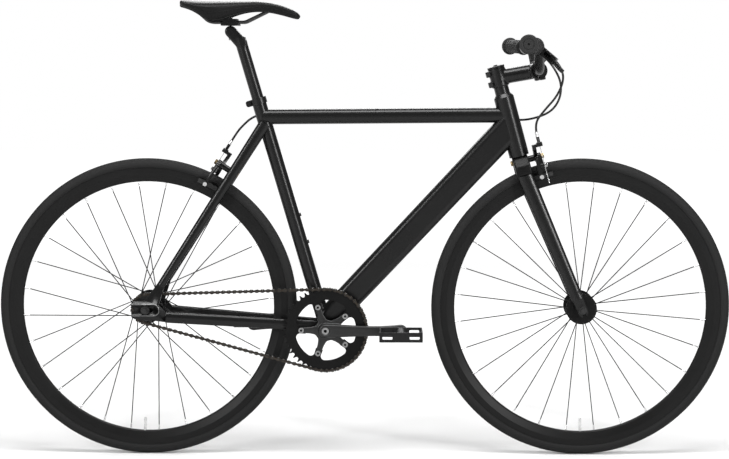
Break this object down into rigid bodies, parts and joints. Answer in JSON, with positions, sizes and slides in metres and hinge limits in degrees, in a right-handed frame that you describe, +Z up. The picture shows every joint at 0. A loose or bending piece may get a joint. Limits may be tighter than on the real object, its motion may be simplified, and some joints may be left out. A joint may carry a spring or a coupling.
{
  "type": "fixed gear bicycle",
  "caption": "City bicycle with a fixed single-speed chain drive, deep rims, riser bar and caliper brakes.",
  "frame": {"origin": "on the ground, midway between the axles, in the mid-plane of the wheels", "axes": "+X forward, +Y to the rider's left, +Z up; the chain is on the -Y side"},
  "size_m": [1.6619, 0.6132, 1.0346],
  "materials": {
    "tyre": "matte moulded rubber",
    "inner_tube": "matte",
    "black_rim": "satin black anodised",
    "dark_steel": "dark drawn steel",
    "black_alloy": "satin black",
    "frame_paint": "matte charcoal black paint",
    "bright_steel": "bright zinc plated",
    "chain_steel": "oiled bronze brown",
    "black_steel": "blackened",
    "grip_rubber": "matte",
    "black_plastic": "matte",
    "saddle_cover": "smooth matte synthetic",
    "cable_housing": "semi gloss"
  },
  "bodies": {
    "frame": {"head_tube": "frame_paint", "top_tube": "frame_paint", "down_tube": "frame_paint", "seat_tube": "frame_paint", "bottom_bracket_shell": "frame_paint", "chainstays": "frame_paint", "seatstays": "frame_paint", "rear_dropouts": "frame_paint", "seatstay_bridge": "frame_paint", "bottle_boss_screws": "black_steel", "seat_clamp": "black_alloy", "headset_bearings": "black_steel", "bottom_bracket_cups": "black_alloy", "rear_axle": "bright_steel", "rear_brake_bolt": "bright_steel", "rear_brake_cable": "cable_housing", "chain_outer_links": "chain_steel", "chain_inner_links": "chain_steel"},
    "steering": {"fork_steerer": "frame_paint", "fork_blades": "frame_paint", "headset_spacers": "black_alloy", "stem": "black_alloy", "stem_faceplate": "black_alloy", "stem_bolts": "black_steel", "handlebar": "black_alloy", "grips": "grip_rubber", "brake_lever_brackets": "black_alloy", "front_axle": "bright_steel", "front_brake_bolt": "bright_steel", "front_brake_cable": "cable_housing"},
    "front_wheel": {"front_tyre": "tyre", "front_inner_tube": "inner_tube", "front_rim": "black_rim", "front_spokes": "dark_steel", "front_hub": "black_alloy"},
    "rear_wheel": {"rear_tyre": "tyre", "rear_inner_tube": "inner_tube", "rear_rim": "black_rim", "rear_spokes": "dark_steel", "rear_hub": "black_alloy", "rear_sprocket": "black_steel"},
    "cranks": {"crank_arm_right": "black_alloy", "crank_arm_left": "black_alloy", "chainring": "black_alloy", "crank_bolts": "bright_steel", "bracket_spindle": "black_steel", "pedal_axles": "black_steel"},
    "right_pedal": {"pedal_right": "black_plastic"},
    "left_pedal": {"pedal_left": "black_plastic"},
    "right_lever": {"lever_right": "black_alloy"},
    "left_lever": {"lever_left": "black_alloy"},
    "front_right_arm": {"front_arm_right": "black_alloy"},
    "front_left_arm": {"front_arm_left": "black_alloy"},
    "rear_right_arm": {"rear_arm_right": "black_alloy"},
    "rear_left_arm": {"rear_arm_left": "black_alloy"},
    "seat": {"seatpost": "black_alloy", "saddle_clamp": "black_alloy", "saddle_rails": "black_steel", "saddle": "saddle_cover"}
  },
  "joints": [
    {"name": "steer", "type": "hinge", "parent": "frame", "child": "steering", "pos_m": [0.448, 0, 0.32704], "axis": [-0.2622, 0, 0.965], "range_deg": [-75, 75], "deforming": ["rear_brake_cable"]},
    {"name": "front_wheel_spin", "type": "hinge", "parent": "steering", "child": "front_wheel", "pos_m": [0.492, 0, 0.339], "axis": [0, 1, 0], "continuous": true},
    {"name": "rear_wheel_spin", "type": "hinge", "parent": "frame", "child": "rear_wheel", "pos_m": [-0.492, 0, 0.339], "axis": [0, 1, 0], "continuous": true, "deforming": ["chain_outer_links", "chain_inner_links"]},
    {"name": "crank_spin", "type": "hinge", "parent": "frame", "child": "cranks", "pos_m": [-0.08659, 0, 0.291], "axis": [0, 1, 0], "continuous": true, "deforming": ["chain_outer_links", "chain_inner_links"]},
    {"name": "right_pedal_spin", "type": "hinge", "parent": "cranks", "child": "right_pedal", "pos_m": [0.08341, -0.042, 0.291], "axis": [0, 1, 0], "continuous": true},
    {"name": "left_pedal_spin", "type": "hinge", "parent": "cranks", "child": "left_pedal", "pos_m": [-0.25659, 0.042, 0.291], "axis": [0, 1, 0], "continuous": true},
    {"name": "right_lever_pull", "type": "hinge", "parent": "steering", "child": "right_lever", "pos_m": [0.40746, -0.16463, 0.90185], "axis": [-0.6393, 0.1034, -0.7619], "range_deg": [0, 25], "stiffness_Nm_per_rad": 1.2, "springref_deg": -11.46, "deforming": ["front_brake_cable"]},
    {"name": "left_lever_pull", "type": "hinge", "parent": "steering", "child": "left_lever", "pos_m": [0.40746, 0.16463, 0.90185], "axis": [0.6393, 0.1034, 0.7619], "range_deg": [0, 25], "stiffness_Nm_per_rad": 1.2, "springref_deg": -11.46, "deforming": ["rear_brake_cable"]},
    {"name": "front_right_arm_close", "type": "hinge", "parent": "steering", "child": "front_right_arm", "pos_m": [0.35452, 0, 0.67107], "axis": [0.965, 0, 0.2622], "range_deg": [0, 2.3], "deforming": ["front_brake_cable"]},
    {"name": "front_left_arm_close", "type": "hinge", "parent": "steering", "child": "front_left_arm", "pos_m": [0.35452, 0, 0.67107], "axis": [-0.965, 0, -0.2622], "range_deg": [0, 2.3], "deforming": ["front_brake_cable"]},
    {"name": "rear_left_arm_close", "type": "hinge", "parent": "frame", "child": "rear_left_arm", "pos_m": [-0.29605, 0, 0.64457], "axis": [-0.8418, 0, 0.5398], "range_deg": [0, 1.9], "deforming": ["rear_brake_cable"]},
    {"name": "rear_right_arm_close", "type": "hinge", "parent": "frame", "child": "rear_right_arm", "pos_m": [-0.29605, 0, 0.64457], "axis": [0.8418, 0, -0.5398], "range_deg": [0, 1.9], "deforming": ["rear_brake_cable"]},
    {"name": "seat_height", "type": "slide", "parent": "frame", "child": "seat", "axis": [-0.2823, 0, 0.9593], "range_m": [-0.1, 0.04]}
  ],
  "couplings": [
    {"joint": "crank_spin", "follows": "rear_wheel_spin", "ratio": 0.34783},
    {"joint": "front_right_arm_close", "follows": "right_lever_pull", "ratio": 0.092},
    {"joint": "front_left_arm_close", "follows": "right_lever_pull", "ratio": 0.092},
    {"joint": "rear_left_arm_close", "follows": "left_lever_pull", "ratio": 0.076},
    {"joint": "rear_right_arm_close", "follows": "left_lever_pull", "ratio": 0.076}
  ]
}
